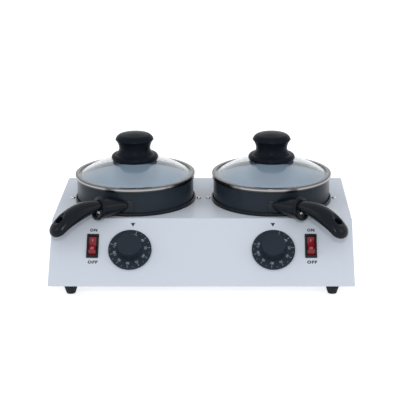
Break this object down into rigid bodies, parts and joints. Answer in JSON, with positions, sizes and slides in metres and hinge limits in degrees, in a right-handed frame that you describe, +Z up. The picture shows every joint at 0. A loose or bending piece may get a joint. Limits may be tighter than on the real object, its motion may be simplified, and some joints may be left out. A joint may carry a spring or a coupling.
{
  "type": "chocolate melter",
  "caption": "Electric chocolate melter: white wedge-shaped casing, lidded round pots with black handles sunk in its top, thermostat dials and rocker switches on its sloping front.",
  "frame": {"origin": "middle of the outline at the level of the table", "axes": "+Z up, +X to the right of a person facing the dials, +Y towards the back wall"},
  "size_m": [0.36, 0.246, 0.1622],
  "materials": {
    "casing_white": "fine powder coat",
    "zinc_steel": "zinc plated",
    "screw_steel": "nickel plated",
    "pan_black": "non-stick coating outside, light grey inside",
    "bakelite": "moulded bakelite",
    "trim_black": "satin",
    "lid_glass": "clear tempered",
    "lid_steel": "polished stainless",
    "foot_rubber": "matte",
    "rocker_red": "translucent red",
    "switch_black": "smooth",
    "control_plastic": "moulded",
    "block_cream": "moulded",
    "copper_bulb": "drawn copper",
    "brass_blade": "tinned",
    "heater_mica": "pressed mica and foil"
  },
  "bodies": {
    "casing": {"cover_shell": "casing_white", "base_plate": "zinc_steel", "base_screws": "screw_steel", "foot_screws": "screw_steel", "foot_nuts": "screw_steel", "well_screws": "screw_steel", "well_nuts": "screw_steel", "heater_nuts": "screw_steel", "thermostat_screws": "screw_steel", "switch_terminals": "brass_blade", "terminal_block": "block_cream", "block_screws": "screw_steel", "cord_gland": "trim_black", "gland_nut": "trim_black", "foot_front_left": "foot_rubber", "foot_front_right": "foot_rubber", "foot_rear_left": "foot_rubber", "foot_rear_right": "foot_rubber", "well_left": "zinc_steel", "trim_ring_left": "trim_black", "heater_left": "heater_mica", "heater_clamp_left": "zinc_steel", "sensor_bulb_left": "copper_bulb", "thermostat_left": "control_plastic", "switch_housing_left": "switch_black", "end_panel_left": "casing_white", "well_right": "zinc_steel", "trim_ring_right": "trim_black", "heater_right": "heater_mica", "heater_clamp_right": "zinc_steel", "sensor_bulb_right": "copper_bulb", "thermostat_right": "control_plastic", "switch_housing_right": "switch_black", "end_panel_right": "casing_white"},
    "pot_left": {"pan_left": "pan_black", "handle_left": "bakelite", "handle_bracket_left": "lid_steel", "handle_screw_left": "screw_steel"},
    "lid_left": {"lid_rim_left": "lid_steel", "lid_glass_left": "lid_glass", "lid_knob_left": "bakelite", "lid_washers_left": "screw_steel", "lid_screw_left": "screw_steel"},
    "dial_left_turning": {"dial_left": "bakelite", "thermostat_shaft_left": "zinc_steel"},
    "rocker_left_tipping": {"rocker_left": "rocker_red"},
    "pot_right": {"pan_right": "pan_black", "handle_right": "bakelite", "handle_bracket_right": "lid_steel", "handle_screw_right": "screw_steel"},
    "lid_right": {"lid_rim_right": "lid_steel", "lid_glass_right": "lid_glass", "lid_knob_right": "bakelite", "lid_washers_right": "screw_steel", "lid_screw_right": "screw_steel"},
    "dial_right_turning": {"dial_right": "bakelite", "thermostat_shaft_right": "zinc_steel"},
    "rocker_right_tipping": {"rocker_right": "rocker_red"}
  },
  "joints": [
    {"name": "pot_left_lift", "type": "slide", "parent": "casing", "child": "pot_left", "axis": [0, 0, 1], "range_m": [0, 0.12]},
    {"name": "lid_left_lift", "type": "slide", "parent": "pot_left", "child": "lid_left", "axis": [0, 0, 1], "range_m": [0, 0.08]},
    {"name": "dial_left_turn", "type": "hinge", "parent": "casing", "child": "dial_left_turning", "pos_m": [-0.085, -0.09001, 0.04695], "axis": [0, -0.7071, 0.7071], "range_deg": [0, 290]},
    {"name": "rocker_left_tip", "type": "hinge", "parent": "casing", "child": "rocker_left_tipping", "pos_m": [-0.1295, -0.084, 0.04872], "axis": [1, 0, 0], "range_deg": [0, 24]},
    {"name": "pot_right_lift", "type": "slide", "parent": "casing", "child": "pot_right", "axis": [0, 0, 1], "range_m": [0, 0.12]},
    {"name": "lid_right_lift", "type": "slide", "parent": "pot_right", "child": "lid_right", "axis": [0, 0, 1], "range_m": [0, 0.08]},
    {"name": "dial_right_turn", "type": "hinge", "parent": "casing", "child": "dial_right_turning", "pos_m": [0.085, -0.09001, 0.04695], "axis": [0, -0.7071, 0.7071], "range_deg": [0, 290]},
    {"name": "rocker_right_tip", "type": "hinge", "parent": "casing", "child": "rocker_right_tipping", "pos_m": [0.1295, -0.084, 0.04872], "axis": [1, 0, 0], "range_deg": [0, 24]}
  ]
}
